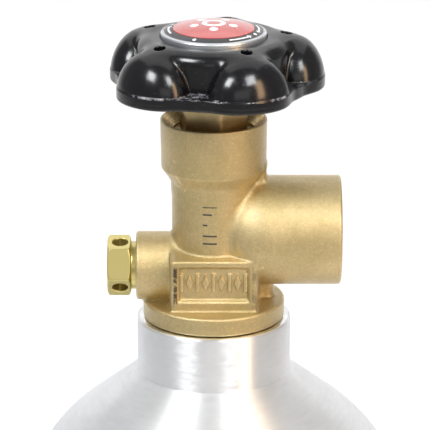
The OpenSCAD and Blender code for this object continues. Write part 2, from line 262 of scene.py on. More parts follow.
def surface(name, field, low, high, step):
    """A mesh of the surface where the field is zero, between two corners.

    The field is sampled coarsely, in cells of several steps, and finely near the surface alone.
    Each point is then moved onto the true surface along the field's own slope.
    """
    cell, slack, moves = 4, 1.3, 3
    low = np.array(low, float) - 2 * step
    high = np.array(high, float) + 2 * step
    cells = np.ceil((high - low) / (step * cell)).astype(int)
    axes = [low[i] + (np.arange(cells[i]) + 0.5) * step * cell for i in range(3)]
    centres = np.stack(np.meshgrid(*axes, indexing="ij"), -1).reshape(-1, 3)
    rough = field(*centres.T)
    near = np.abs(rough) < step * cell * slack
    band = 3 * step
    dense = np.empty((*cells, cell, cell, cell), np.float32)
    dense[...] = np.clip(rough, -band, band).reshape(*cells, 1, 1, 1)
    local = (np.arange(cell) - (cell - 1) / 2) * step
    offsets = np.stack(np.meshgrid(local, local, local, indexing="ij"), -1).reshape(-1, 3)
    fine = (centres[near][:, None, :] + offsets[None]).reshape(-1, 3)
    values = np.clip(field(*fine.T), -band, band)
    dense.reshape(-1, cell**3)[near] = values.reshape(-1, cell**3)
    grid = openvdb.FloatGrid(background=band)
    voxels = dense.transpose(0, 3, 1, 4, 2, 5).reshape(cells * cell)
    grid.copyFromArray(np.ascontiguousarray(voxels))
    index_points, quads = grid.convertToQuads(isovalue=0.0)
    points = low + (index_points.astype(float) + 0.5) * step
    for _ in range(moves):
        value, gradient = slope(field, points, step)
        move = value / np.maximum((gradient**2).sum(1), 0.05)
        points -= np.clip(move, -step, step)[:, None] * gradient
    mesh = new_mesh(name, points.tolist(), quads[:, ::-1].tolist())
    mesh.validate()
    mesh.update()
    if mesh_volume(mesh) < 0:
        mesh.flip_normals()
    mesh.shade_smooth()
    return mesh


def points_of(mesh):
    """The places of a mesh's points."""
    places = np.empty(len(mesh.vertices) * 3)
    mesh.vertices.foreach_get("co", places)
    return places.reshape(-1, 3)


def mesh_volume(mesh):
    """Signed volume of a closed mesh."""
    mesh.calc_loop_triangles()
    corners = np.empty(len(mesh.loop_triangles) * 3, np.int32)
    mesh.loop_triangles.foreach_get("vertices", corners)
    a, b, c = points_of(mesh)[corners.reshape(-1, 3)].transpose(1, 0, 2)
    return float((np.cross(a, b) * c).sum() / 6)


def true_normals(mesh, field, step):
    """Gives a glossy mesh the exact normals of the shape that it was made from."""
    gradient = slope(field, points_of(mesh), step)[1]
    length = np.linalg.norm(gradient, axis=1, keepdims=True)
    mesh.normals_split_custom_set_from_vertices((gradient / np.maximum(length, 1e-9)).tolist())


# ---------------------------------------------- turned and cut meshes


def polar(radius, angle):
    """The point at this distance and angle."""
    return radius * math.cos(angle), radius * math.sin(angle)


def arc(centre_r, centre_z, radius, start, end, steps):
    """Points along an arc, from one angle to the other."""
    points = [polar(radius, start + (end - start) * i / steps) for i in range(steps + 1)]
    return [(centre_r + r, centre_z + z) for r, z in points]


def lathe(name, outline, around, turn=None, bands=()):
    """A turned mesh from an outline of (radius, height) points.

    A closed outline makes a ring. Points on the axis make a solid with poles. turn is a matrix
    that places the result, and bands gives a material index for each stretch of the outline.
    """
    rings, verts, faces, marks = [], [], [], []
    for r, z in outline:
        count = 1 if r < 1e-9 else around
        rings.append(list(range(len(verts), len(verts) + count)))
        verts += [(*polar(r, 2 * math.pi * i / around), z) for i in range(count)]
    closed = len(rings[0]) > 1
    pairs = zip(rings, rings[1:] + (rings[:1] if closed else []))
    for k, (one, two) in enumerate(pairs):
        if len(one) == 1 and len(two) == 1:
            continue
        for i in range(around):
            j = (i + 1) % around
            if len(one) == 1:
                faces.append((one[0], two[j], two[i]))
            elif len(two) == 1:
                faces.append((one[i], one[j], two[0]))
            else:
                faces.append((one[i], one[j], two[j], two[i]))
            marks.append(bands[k] if k < len(bands) else 0)
    mesh = new_mesh(name, verts, faces)
    mesh.polygons.foreach_set("material_index", marks)
    if turn is not None:
        mesh.transform(turn)
    mesh.update()
    if mesh_volume(mesh) < 0:
        mesh.flip_normals()
    mesh.shade_smooth()
    mesh.set_sharp_from_angle(angle=math.radians(32))
    return mesh


def threaded(radius, depth, pitch, low, high):
    """A closed threaded rod along +Z whose crests stand out from the radius by depth."""
    around, per_turn = 96, 8
    flank = 2.6                         # slope of a crest's sides, in depths a pitch
    rows = int(round((high - low) / pitch * per_turn))
    verts, faces = [], []
    for k in range(rows + 1):
        z = low + (high - low) * k / rows
        fade = min(1, k / per_turn, (rows - k) / per_turn)
        for i in range(around):
            phase = ((z - low) / pitch - i / around) % 1
            rise = depth * fade * max(0, 1 - abs(phase - 0.5) * flank)
            verts.append((*polar(radius + rise, 2 * math.pi * i / around), z))
    for k in range(rows):
        for i in range(around):
            j = (i + 1) % around
            a, b = k * around, (k + 1) * around
            faces.append((a + i, a + j, b + j, b + i))
    faces.append(tuple(reversed(range(around))))
    faces.append(tuple(rows * around + i for i in range(around)))
    return new_mesh("thread_cutter", verts, faces)


def add_object(name, data):
    """Puts a mesh, light or camera in the scene."""
    thing = bpy.data.objects.new(name, data)
    bpy.context.collection.objects.link(thing)
    return thing


def machine(mesh, cutters, cut_finish):
    """Cuts each cutter out of the mesh; the cut faces take the finish."""
    work = add_object("machining_work", mesh)
    tools = []
    for cutter in cutters:
        cutter.materials.clear()
        cutter.materials.append(cut_finish)
        tool = add_object("machining_tool", cutter)
        tools.append(tool)
        step = work.modifiers.new("machining", "BOOLEAN")
        step.operation = "DIFFERENCE"
        step.object = tool
        step.solver = "MANIFOLD"
        step.material_mode = "TRANSFER"
    bpy.context.view_layer.update()
    machined = work.evaluated_get(bpy.context.evaluated_depsgraph_get())
    result = bpy.data.meshes.new_from_object(machined)
    result.name = mesh.name
    for extra in [work, *tools]:
        bpy.data.objects.remove(extra)
    if not result.polygons:
        raise RuntimeError(f"machining {result.name} left nothing")
    result.shade_smooth()
    result.set_sharp_from_angle(angle=math.radians(38))
    return result


def along_x(mesh, height, backwards=False):
    """Lays a mesh made along +Z down along +X, or along -X, at a height."""
    angle = -math.pi / 2 if backwards else math.pi / 2
    mesh.transform(Matrix.Translation((0, 0, height)) @ Matrix.Rotation(angle, 4, "Y"))
    mesh.update()
    return mesh


def add_piece(name, mesh, body, finishes, stands_for=()):
    """Puts a finished mesh in the scene as a piece that rides on a body."""
    piece = add_object(name, mesh)
    for finish_name in finishes:
        if finish_name not in mesh.materials:
            mesh.materials.append(finish(finish_name))
    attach(piece, body)
    if stands_for:
        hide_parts(*stands_for)


# ---------------------------------------------- shared effects for materials


def set_values(sockets, values):
    """Sets sockets by name, with _ in place of a space."""
    for label, value in values.items():
        sockets[label.replace("_", " ")].default_value = value


class Nodes:
    """Short calls for putting nodes in a tree."""

    def __init__(self, tree):
        self.tree = tree

    def add(self, kind, **settings):
        node = self.tree.nodes.new(kind)
        for key, value in settings.items():
            setattr(node, key, value)
        return node

    def put(self, value, socket):
        if isinstance(value, bpy.types.NodeSocket):
            self.tree.links.new(value, socket)
        else:
            socket.default_value = value

    def fill(self, node, values):
        for value, socket in zip(values, node.inputs):
            self.put(value, socket)
        return node.outputs[0]

    def math(self, operation, *values):
        return self.fill(self.add("ShaderNodeMath", operation=operation), values)

    def times(self, value, *others):
        for other in others:
            value = self.math("MULTIPLY", value, other)
        return value

    def mix(self, factor, a, b):
        node = self.add("ShaderNodeMix", data_type="RGBA")
        self.put(factor, node.inputs["Factor"])
        self.put(a, node.inputs[6])
        self.put(b, node.inputs[7])
        return node.outputs[2]

    def remap(self, value, from_low, from_high, to_low=0.0, to_high=1.0):
        node = self.add("ShaderNodeMapRange", clamp=True)
        return self.fill(node, (value, from_low, from_high, to_low, to_high))

    def noise(self, vector, scale, detail, rough):
        node = self.add("ShaderNodeTexNoise")
        self.put(vector, node.inputs["Vector"])
        self.put(scale, node.inputs["Scale"])
        set_values(node.inputs, {"Detail": detail, "Roughness": rough})
        return node.outputs["Fac"]

    def place(self):
        return self.add("ShaderNodeTexCoord").outputs["Object"]

    def split(self, vector):
        node = self.add("ShaderNodeSeparateXYZ")
        self.put(vector, node.inputs[0])
        return node.outputs

    def from_axis(self, x, y):
        squares = self.math("ADD", self.math("POWER", x, 2.0), self.math("POWER", y, 2.0))
        return self.math("SQRT", squares)


def grain(n, size, cloud_size):
    """Fine pitted grain with slower clouds: blasted metal and moulded plastic."""
    place = n.place()
    pits = n.add("ShaderNodeTexVoronoi")
    n.put(place, pits.inputs["Vector"])
    n.put(size, pits.inputs["Scale"])
    fine = n.noise(place, size, 3.0, 0.65)
    speck = n.noise(place, n.times(size, 0.6), 2.0, 0.6)
    mottle = n.noise(place, n.times(size, 0.28), 4.0, 0.75)
    return {
        "Height": n.math("ADD", n.times(fine, 0.7), n.times(pits.outputs["Distance"], 0.5)),
        "Cloud": n.noise(place, cloud_size, 5.0, 0.6),
        "Speck": n.remap(speck, 0.58, 0.72),
        "Mottle": n.remap(mottle, 0.34, 0.66),
    }


def edge_wear_and_hollow_shade(n, wear, shade_reach):
    """Masks for edges rubbed bright, and for hollows that take painted shade."""
    point = n.add("ShaderNodeNewGeometry").outputs["Pointiness"]
    ragged = n.times(n.math("SUBTRACT", n.noise(n.place(), 500.0, 4.0, 0.7), 0.5), 0.05)
    point = n.math("ADD", point, ragged)
    return {
        "Edge": n.remap(point, 0.51, n.math("ADD", wear, 0.51)),
        "Hollow": n.remap(point, 0.49, n.math("SUBTRACT", 0.49, shade_reach)),
    }


def turning_lines(n, pitch, streak):
    """Fine lines left by a lathe around the valve's own axis."""
    x, y, z = n.split(n.place())
    radius = n.from_axis(x, y)
    around = n.times(n.math("ARCTAN2", y, x), streak)
    lines = {}
    for label, scale in (("Height", pitch), ("Streaks", n.times(pitch, 0.16))):
        point = n.fill(n.add("ShaderNodeCombineXYZ"),
                       (around, n.times(radius, scale), n.times(z, scale)))
        lines[label] = n.noise(point, 1.0, 3.0, 0.6)
    return lines


EFFECTS = {
    "grain": (grain, {"Size": 1400.0, "Cloud Size": 60.0}),
    "edge_wear_and_hollow_shade": (edge_wear_and_hollow_shade, {"Wear": 0.05, "Grime": 0.05}),
    "turning_lines": (turning_lines, {"Pitch": 5200.0, "Streak": 3.0}),
}


def effect_group(name):
    """The shared node group of this name, built the first time that it is asked for."""
    if name in bpy.data.node_groups:
        return bpy.data.node_groups[name]
    build, inputs = EFFECTS[name]
    tree = bpy.data.node_groups.new(name, "ShaderNodeTree")
    for label, value in inputs.items():
        socket = tree.interface.new_socket(
            label, in_out="INPUT", socket_type="NodeSocketFloat")
        socket.default_value = value
    nodes = Nodes(tree)
    start = nodes.add("NodeGroupInput").outputs
    results = build(nodes, *(start[label] for label in inputs))
    for label in results:
        tree.interface.new_socket(label, in_out="OUTPUT", socket_type="NodeSocketFloat")
    end = nodes.add("NodeGroupOutput").inputs
    for label, result in results.items():
        nodes.put(result, end[label])
    return tree


# ---------------------------------------------- finishes


class Finish(Nodes):
    """A material with one Principled shader, and short calls for what feeds it."""

    def __init__(self, name, base, metallic, roughness, **constants):
        self.material = bpy.data.materials.new(name)
        self.material.use_nodes = True
        super().__init__(self.material.node_tree)
        self.base, self.roughness = base, roughness
        self.sockets = self.tree.nodes["Principled BSDF"].inputs
        set_values(self.sockets, {"Base Color": (*base, 1), "Metallic": metallic,
                                  "Roughness": roughness, **constants})

    def tint(self, factor=1.0):
        """The base colour made lighter or darker."""
        return (*(min(1.0, c * factor) for c in self.base), 1)

    def effect(self, name, **values):
        """Places a shared effect with its own values."""
        node = self.add("ShaderNodeGroup", node_tree=effect_group(name))
        set_values(node.inputs, values)
        return node.outputs

    def vary(self, mask, less, more):
        """The roughness, made less or more by a mask."""
        return self.remap(mask, 0.3, 0.7, self.roughness - less, self.roughness + more)

    def feed(self, tone, rough, height, strength, depth):
        """Feeds the shader its colour, its roughness and a bump of this depth in millimetres."""
        node = self.add("ShaderNodeBump")
        set_values(node.inputs, {"Strength": strength, "Distance": depth * MM})
        self.put(height, node.inputs["Height"])
        self.put(tone, self.sockets["Base Color"])
        self.put(rough, self.sockets["Roughness"])
        self.put(node.outputs["Normal"], self.sockets["Normal"])
        return self.material


def pad_stains(n, pad_depth):
    """Mask of the dark marks along the side bars of the front pad's frame."""
    place = n.place()
    across, out, up = n.split(place)
    side = n.math("ABSOLUTE", n.math("SUBTRACT", across, 0.3 * MM))
    return n.times(
        n.remap(side, 12.1 * MM, 12.4 * MM),
        n.remap(side, 13.7 * MM, 13.3 * MM),
        n.remap(out, 1.5 * MM - pad_depth, 1.0 * MM - pad_depth),
        n.remap(up, NECK_TOP + 8 * MM, NECK_TOP + 9 * MM),
        n.remap(up, NECK_TOP + 23 * MM, NECK_TOP + 22 * MM),
        n.remap(n.noise(place, 520.0, 5.0, 0.8), 0.46, 0.54),
        n.remap(across, -5 * MM, 5 * MM, 0.9, 0.45))


def blasted_brass(name, base, pad_depth):
    """Forged brass, blasted to a soft grain with painted glints, bright on its edges, and darkened
    by painted shade and rougher in its hollows.
    """
    n = Finish(name, base, 1.0, 0.42, Coat_Weight=0.8, Coat_Roughness=0.38)
    marks = n.effect("grain", Size=3000.0, Cloud_Size=55.0)
    # wear holds the edges rubbed bright and the hollows that take painted shade
    wear = n.effect("edge_wear_and_hollow_shade", Wear=0.05, Grime=0.07)
    olive = (base[0] * 0.80, base[1] * 0.80, base[2] * 0.72, 1)
    tone = n.mix(n.remap(marks["Cloud"], 0.38, 0.68), olive, n.tint())
    layers = [
        (n.remap(marks["Mottle"], 0.0, 1.0, 0.32, 0.0), n.tint(0.45)),
        # painted glints: lighter specks stand in for the sparkle of the blasted pits
        (n.times(marks["Speck"], 0.5), n.tint(1.3)),
        (n.times(wear["Edge"], 0.7), n.tint(1.2)),
        # painted shade: the hollows are darkened to a dark brown
        (n.times(wear["Hollow"], 0.32), (0.20, 0.135, 0.05, 1)),
        (pad_stains(n, pad_depth), (0.05, 0.033, 0.018, 1)),
    ]
    for mask, layer in layers:
        tone = n.mix(mask, tone, layer)
    rough = n.remap(marks["Cloud"], 0.3, 0.7, 0.58, 0.49)
    rough = n.math("SUBTRACT", rough, n.times(wear["Edge"], 0.12))
    rough = n.math("ADD", rough, n.times(wear["Hollow"], 0.2))
    return n.feed(tone, rough, marks["Height"], 0.75, 0.18)


def turned_brass(name, base, roughness=0.24):
    """Brass straight from the lathe, with fine lines and a few dull clouds."""
    n = Finish(name, base, 1.0, roughness)
    lines = n.effect("turning_lines", Pitch=5200.0)
    marks = n.effect("grain", Size=2600.0, Cloud_Size=130.0)
    tone = n.mix(n.remap(marks["Cloud"], 0.35, 0.7), n.tint(0.84), n.tint())
    tone = n.mix(n.times(lines["Streaks"], 0.35), tone, n.tint(0.7))
    return n.feed(tone, n.vary(lines["Streaks"], 0.05, 0.09), lines["Height"], 0.18, 0.03)


def bare_aluminium(name, base, roughness, lines_strength):
    """Bare aluminium turned around the cylinder's axis, so its shine stretches upright."""
    n = Finish(name, base, 0.80, roughness, Anisotropic=0.9, Anisotropic_Rotation=0.25,
               Specular_Tint=(0.62, 0.63, 0.65, 1))
    tangent = n.add("ShaderNodeTangent", direction_type="RADIAL", axis="Z")
    n.put(tangent.outputs[0], n.sockets["Tangent"])
    lines = n.effect("turning_lines", Pitch=4200.0, Streak=5.0)
    marks = n.effect("grain", Size=2200.0, Cloud_Size=26.0)
    tone = n.mix(n.remap(marks["Cloud"], 0.35, 0.65), n.tint(0.93), n.tint(1.04))
    tone = n.mix(n.remap(lines["Streaks"], 0.35, 0.75, 0.0, 0.15), tone, n.tint(0.72))
    rough = n.vary(lines["Streaks"], 0.05, 0.08)
    return n.feed(tone, rough, lines["Height"], lines_strength, 0.04)


def moulded_plastic(name, base, roughness, parting_height):
    """Glossy moulded plastic with a faint orange peel, and a rough line where the moulds met that
    is painted light grey as a highlight in patches, full between the lobes and strongest towards
    the front.
    """
    n = Finish(name, base, 0.0, roughness, IOR=1.56)
    marks = n.effect("grain", Size=900.0, Cloud_Size=90.0)
    place = n.place()
    x, y, z = n.split(place)
    away = n.math("ABSOLUTE", n.math("SUBTRACT", z, NECK_TOP + parting_height))
    flash_and_glint_patches = n.remap(n.noise(place, 55.0, 2.0, 0.5), 0.5, 0.58)
    flash_and_glint_patches = n.math("MAXIMUM", flash_and_glint_patches, n.remap(n.from_axis(x, y), 34.5 * MM, 33 * MM))
    # the painted highlight on the flash is strongest towards the front, at -Y
    flash_and_glint_patches = n.times(flash_and_glint_patches, n.remap(y, -22 * MM, -28 * MM, 0.12, 1.0))
    flash = n.times(n.remap(away, 0.25 * MM, 0.5 * MM, 1.0, 0.0), flash_and_glint_patches,
                    n.remap(marks["Mottle"], 0.45, 0.85))
    tone = n.mix(n.times(marks["Speck"], 0.06), n.tint(), (0.10, 0.10, 0.11, 1))
    # painted highlight: the flash line is painted light grey to stand in for its glints; its bump
    # is real shape
    tone = n.mix(flash, tone, (0.42, 0.42, 0.45, 1))
    rough = n.remap(marks["Cloud"], 0.35, 0.7, roughness - 0.03, roughness + 0.05)
    rough = n.math("ADD", rough, n.times(marks["Speck"], 0.08))
    height = n.math("ADD", n.times(marks["Cloud"], 0.12), n.times(flash, 4.0))
    return n.feed(tone, rough, height, 1.0, 0.12)


def printed(name, base, roughness, coat=0.0):
    """Ink or enamel with a slight unevenness, under a clear coat if it has one."""
    n = Finish(name, base, 0.0, roughness, Coat_Weight=coat, Coat_Roughness=0.1)
    marks = n.effect("grain", Size=3000.0, Cloud_Size=180.0)
    tone = n.mix(n.remap(marks["Cloud"], 0.3, 0.7, 0.0, 0.18), n.tint(), n.tint(0.75))
    return n.feed(tone, n.vary(marks["Cloud"], 0.04, 0.08), marks["Height"], 0.06, 0.02)


def plain_metal(name, base, roughness):
    """Plated or rolled metal with fine grain."""
    n = Finish(name, base, 1.0, roughness)
    marks = n.effect("grain", Size=2400.0, Cloud_Size=160.0)
    tone = n.mix(n.remap(marks["Cloud"], 0.3, 0.7), n.tint(0.82), n.tint(1.05))
    return n.feed(tone, n.vary(marks["Cloud"], 0.05, 0.08), marks["Height"], 0.12, 0.03)


def soft_seal(name, base, roughness):
    """Soft seal material, matt with a fine grain."""
    n = Finish(name, base, 0.0, roughness)
    marks = n.effect("grain", Size=2000.0, Cloud_Size=200.0)
    tone = n.mix(marks["Cloud"], n.tint(0.8), n.tint(1.15))
    return n.feed(tone, n.vary(marks["Cloud"], 0.06, 0.06), marks["Height"], 0.15, 0.04)


def pale_paper(name):
    """Even, matt paper for the floor, with the faintest of clouds."""
    n = Finish(name, (0.66, 0.66, 0.66), 0.0, 0.7)
    marks = n.effect("grain", Size=300.0, Cloud_Size=2.0)
    tone = n.mix(marks["Cloud"], (0.65, 0.65, 0.65, 1), (0.68, 0.68, 0.68, 1))
    n.put(tone, n.sockets["Base Color"])
    return n.material


# What makes each finish, and its values. A value in quotes is one of the scene's own sizes.
FINISHES = {
    "blasted_brass": (blasted_brass, "valve_sizes.brass", "valve_sizes.pad_depth"),
    "turned_brass": (turned_brass, (0.70, 0.50, 0.22)),
    "bonnet_brass": (turned_brass, (0.80, 0.62, 0.32), 0.34),
    "relief_brass": (turned_brass, (0.97, 0.91, 0.52), 0.42),
    "neck_aluminium": (bare_aluminium, "cylinder_sizes.metal", 0.33, 0.5),
    "satin_aluminium": (bare_aluminium, "cylinder_sizes.metal", 0.50, 0.12),
    "faced_aluminium": (plain_metal, "cylinder_sizes.metal", 0.14),
    "black_plastic": (moulded_plastic, "wheel_sizes.plastic", 0.2, "wheel_sizes.parting_height"),
    "label_metal": (plain_metal, (0.44, 0.46, 0.49), 0.16),
    "red_print": (printed, "wheel_sizes.badge", 0.2, 0.8),
    "black_print": (printed, (0.02, 0.02, 0.022), 0.24),
    "white_print": (printed, (0.78, 0.78, 0.78), 0.3),
    "etched_dark": (printed, (0.05, 0.045, 0.035), 0.6),
    "plated_steel": (plain_metal, (0.56, 0.56, 0.58), 0.3),
    "soft_copper": (plain_metal, (0.72, 0.38, 0.22), 0.35),
    "seal_rubber": (soft_seal, (0.02, 0.02, 0.02), 0.55),
    "seal_plastic": (soft_seal, (0.78, 0.77, 0.72), 0.45),
    "white_paper": (pale_paper,),
}


def finish(name):
    """The material of this name, made the first time that it is asked for."""
    if name in bpy.data.materials:
        return bpy.data.materials[name]
    make, *values = FINISHES[name]
    scene = bpy.context.scene
    return make(name, *(scene.path_resolve(v) if isinstance(v, str) else v for v in values))


# ---------------------------------------------- the cylinder


def cylinder_outline(s):
    """Outline of the hollow cylinder, from the base up, and the finish of each stretch of it."""
    satin, turned_neck, faced = 0, 1, 2
    radius = SHELL_HIGH.x
    wall, base = 7 * MM, 12 * MM
    neck_low = NECK_TOP - s.neck_height
    curve_r = radius - s.shoulder_radius
    cone_r = curve_r + s.shoulder_radius * math.sin(s.shoulder_slope)
    cone_rise = (cone_r - s.neck_radius) * math.tan(s.shoulder_slope)
    curve_z = neck_low - cone_rise - s.shoulder_radius * math.cos(s.shoulder_slope)
    quarter = math.pi / 2
    root = 0.5 * MM
    bore, gland, gland_depth = 13.65 * MM, 16.1 * MM, 2.2 * MM
    edge, inner_edge, inner_curve = s.base_edge, 14 * MM, 48 * MM
    dish_r, dish_h = 38 * MM, 1.2 * MM
    outer = [(0, dish_h), (dish_r, dish_h)]
    outer += [(dish_r + 1.2 * MM, dish_h * 0.8), (dish_r + 3 * MM, dish_h * 0.15),
              (dish_r + 4 * MM, 0)]
    outer += arc(radius - edge, edge, edge, -quarter, 0, 20)
    outer += arc(curve_r, curve_z, s.shoulder_radius, 0, quarter - s.shoulder_slope, 48)
    outer += [(s.neck_radius + root, neck_low - root * 0.6),
              (s.neck_radius + root * 0.3, neck_low - root * 0.1)]
    neck_starts = len(outer)
    outer += [(s.neck_radius, neck_low + root)]
    top = NECK_TOP + NECK_EDGE
    lip = 0.12 * MM
    outer += [(s.neck_radius, NECK_TOP - lip), (s.neck_radius - lip * 0.4, NECK_TOP + lip * 0.4)]
    outer += [(s.neck_radius - NECK_EDGE + lip * 0.6, top - lip * 0.6)]
    land_starts = len(outer)
    outer += [(s.neck_radius - NECK_EDGE - lip, top)]
    outer += [(gland, top), (gland, top - gland_depth), (bore, top - gland_depth)]
    outer += [(bore, curve_z + inner_curve)]
    inner_r = radius - wall
    outer += arc(inner_r - inner_curve, curve_z, inner_curve, math.radians(86), 0, 24)
    outer += arc(inner_r - inner_edge, base + inner_edge, inner_edge, 0, -quarter, 12)
    outer += [(0, base)]
    bands = [turned_neck if k >= neck_starts - 1 else satin for k in range(len(outer))]
    bands[land_starts] = faced
    return outer, bands


class CYL_OT_add_cylinder(bpy.types.Operator):
    """Adds the aluminium cylinder with its machined neck"""

    bl_idname = "cylinder.add_cylinder"
    bl_label = "Cylinder"

    def execute(self, context):
        outline, bands = cylinder_outline(context.scene.cylinder_sizes)
        mesh = lathe("cylinder", outline, 256, bands=bands)
        add_piece("cylinder", mesh, "root",
                  ["satin_aluminium", "neck_aluminium", "faced_aluminium"], ["cylinder_shell"])
        return {"FINISHED"}


# ---------------------------------------------- the valve body


def pad_shape(s, x, y, z, side):
    """One forged pad; side is -1 for the front and +1 for the back."""
    out = y * side
    side_draft, top_draft = 0.07, 0.13
    width = np.abs(x) - s.pad_half_width - side_draft * (s.pad_depth - out)
    top = z - 24.5 * MM + (out - s.pad_depth) * top_draft
    shape = common(width, top, 1.4 * MM)
    shape = common(shape, out - s.pad_depth, 0.8 * MM)
    return common(common(shape, 2 * MM - z), -out)


def pad_recess(s, x, y, z, side):
    """The framed recess in a pad, with sloping sides."""
    deep, half_width, half_height = 1.3 * MM, 10.8 * MM, 5.2 * MM
    depth = s.pad_depth - y * side
    flare = 0.75 * (deep - depth)
    hole = common(np.abs(x) - half_width - flare,
                  np.abs(z - 16.5 * MM) - half_height - flare, 0.8 * MM)
    return common(hole, depth - deep, 0.3 * MM)


def pad_marks(s, x, y, z):
    """Plain raised bars and lozenges in the front recess."""
    pitch = 2.6 * MM
    place = np.clip(np.round(x / pitch), -4, 4)
    local = x - place * pitch
    up = z - 17 * MM
    bars = common(np.abs(local) - 0.55 * MM, np.abs(up) - 3.1 * MM, 0.6 * MM)
    slant, half_width = 0.42, 1.15 * MM
    lozenge = (np.abs(local) + np.abs(up) * slant - half_width) * 0.85
    shape = np.where(place % 2 == 0, bars, lozenge)
    depth = y + s.pad_depth
    return common(common(shape, 0.45 * MM - depth, 0.3 * MM), depth - 2 * MM)


def forging(s):
    """The forged body as a distance in the row's frame."""
    col, rim = s.column_radius, s.collar_radius
    cone_low, cone_top, collar_top = 47.4 * MM, 52.2 * MM, BODY_HIGH.z - NECK_TOP
    soft = 0.5 * MM
    collar = [
        (0, cone_low - 4 * MM), (col - 2 * soft, cone_low - 4 * MM),
        (col - soft, cone_low + 0.2 * soft), (rim - 0.28 * MM - soft, cone_top + 0.3 * soft),
        (rim - soft, collar_top - soft), (0, collar_top - soft),
    ]

    rib = (0, -2.5 * MM, 5 * MM), (19.8 * MM, 2.5 * MM, 14 * MM)
    web = (-21 * MM, -4.8 * MM, 5 * MM), (0, 4.8 * MM, 12 * MM)

    def field(x, y, z):
        up = z - NECK_TOP
        r = np.hypot(x, y)
        shape = slab(r, up, col, 0.5 * MM, 50 * MM, soft)
        flange = slab(r, up, s.flange_radius, -1 * MM, s.flange_top, 0.9 * MM)
        gusset = slab(r, up, rim - 0.1 * MM, 44 * MM, 54 * MM, soft)
        gusset = common(gusset, np.abs(y) - 4.5 * MM, 1 * MM)
        past = np.minimum(x - s.outlet_round, 0)
        outlet = np.sqrt(y**2 + (up - s.outlet_height) ** 2 + past**2) - s.outlet_radius
        across = np.hypot(y, up - s.relief_height)
        parts = [
            (turned(r, up, collar) - soft, 1.4 * MM),
            (common(flange, 1 * MM - up, 0.4 * MM), s.fillet),
            (common(gusset, 10 * MM - x), 1.2 * MM),
            (common(outlet, x - BODY_HIGH.x, 1.2 * MM), s.fillet),
            (slab(across, -x, s.relief_radius, 0, -BODY_LOW.x, 0.8 * MM), s.fillet),
            (block(x, y, up, *rib, 2.3 * MM), 1.2 * MM),
            (block(x, y, up, *web, 0.8 * MM), 1.2 * MM),
        ]
        for side in (-1, 1):
            recess = pad_recess(s, x, y, up, side)
            parts.append((cut(pad_shape(s, x, y, up, side), recess, 0.5 * MM), 1.1 * MM))
        parts.append((pad_marks(s, x, y, up), 0.4 * MM))
        for part, blend in parts:
            shape = join(shape, part, blend)
        flash = 0.05 * MM * np.exp(-((y / (0.35 * MM)) ** 2))
        flash = flash * (up > s.flange_top) * (up < collar_top - 4 * MM)
        land = slab(r, up, 20.5 * MM, NECK_EDGE, 2 * MM, 0.1 * MM)
        shank = slab(r, up, 13.6 * MM, BODY_LOW.z - NECK_TOP, 2 * MM, 0.6 * MM)
        return join(shape - flash, join(land, shank))

    return field


def body_cutters(s):
    """Closed meshes of the rooms and holes that are machined in the body."""
    top, bottom = BODY_HIGH.z - NECK_TOP, BODY_LOW.z - NECK_TOP
    beyond = 1 * MM
    passage, seat, bonnet_bore, mouth_bore = 3.2 * MM, 4.6 * MM, 8 * MM, 13.45 * MM
    room = [
        (0, 25 * MM), (passage, 25 * MM), (passage, 26 * MM), (seat, 26 * MM), (seat, 25 * MM),
        (bonnet_bore, 25 * MM), (bonnet_bore, 46 * MM), (9.8 * MM, 46 * MM), (9.8 * MM, 52 * MM),
        (mouth_bore, 52 * MM), (mouth_bore, top - 3.6 * MM), (16.75 * MM, top - 0.15 * MM),
        (17.2 * MM, top + beyond), (0, top + beyond),
    ]
    up = Matrix.Translation((0, 0, NECK_TOP))
    inlet = [(0, bottom - beyond), (passage, bottom - beyond), (passage, 25.5 * MM),
             (0, 25.5 * MM)]
    end, relief_end = BODY_HIGH.x, -BODY_LOW.x
    socket = end - 17 * MM
    height = NECK_TOP + s.outlet_height
    bore = s.outlet_bore
    lead_in = bore + 1.4 * MM
    mouth = [(0, 0), (3 * MM, 0), (3 * MM, socket - 6 * MM), (8.5 * MM, socket), (bore, socket),
             (bore, end - 1.2 * MM), (lead_in, end + 0.2 * MM), (lead_in, end + beyond),
             (0, end + beyond)]
    relief = [(0, 0), (2 * MM, 0), (2 * MM, 13 * MM), (7.95 * MM, 13 * MM),
              (7.95 * MM, relief_end - 0.4 * MM), (8.4 * MM, relief_end + beyond),
              (0, relief_end + beyond)]
    pitch = 25.4 / 14 * MM
    thread = threaded(bore - 0.1 * MM, 0.95 * MM, pitch, socket + 1.5 * MM, end - 0.4 * MM)
    return [
        lathe("room_cutter", room, 128, up),
        lathe("inlet_cutter", inlet, 64, up),
        along_x(lathe("outlet_cutter", mouth, 128), height),
        along_x(thread, height),
        along_x(lathe("relief_cutter", relief, 96), NECK_TOP + s.relief_height, backwards=True),
    ]


class CYL_OT_add_valve_body(bpy.types.Operator):
    """Adds the forged and machined brass valve body"""

    bl_idname = "cylinder.add_valve_body"
    bl_label = "Valve body"

    def execute(self, context):
        s = context.scene.valve_sizes
        mesh = surface("valve_forging", forging(s), BODY_LOW, BODY_HIGH, s.grain_step)
        mesh.materials.append(finish("blasted_brass"))
        mesh = machine(mesh, body_cutters(s), finish("turned_brass"))
        add_piece("valve_forging", mesh, "root",
                  ["blasted_brass", "turned_brass"], ["valve_body"])
        return {"FINISHED"}


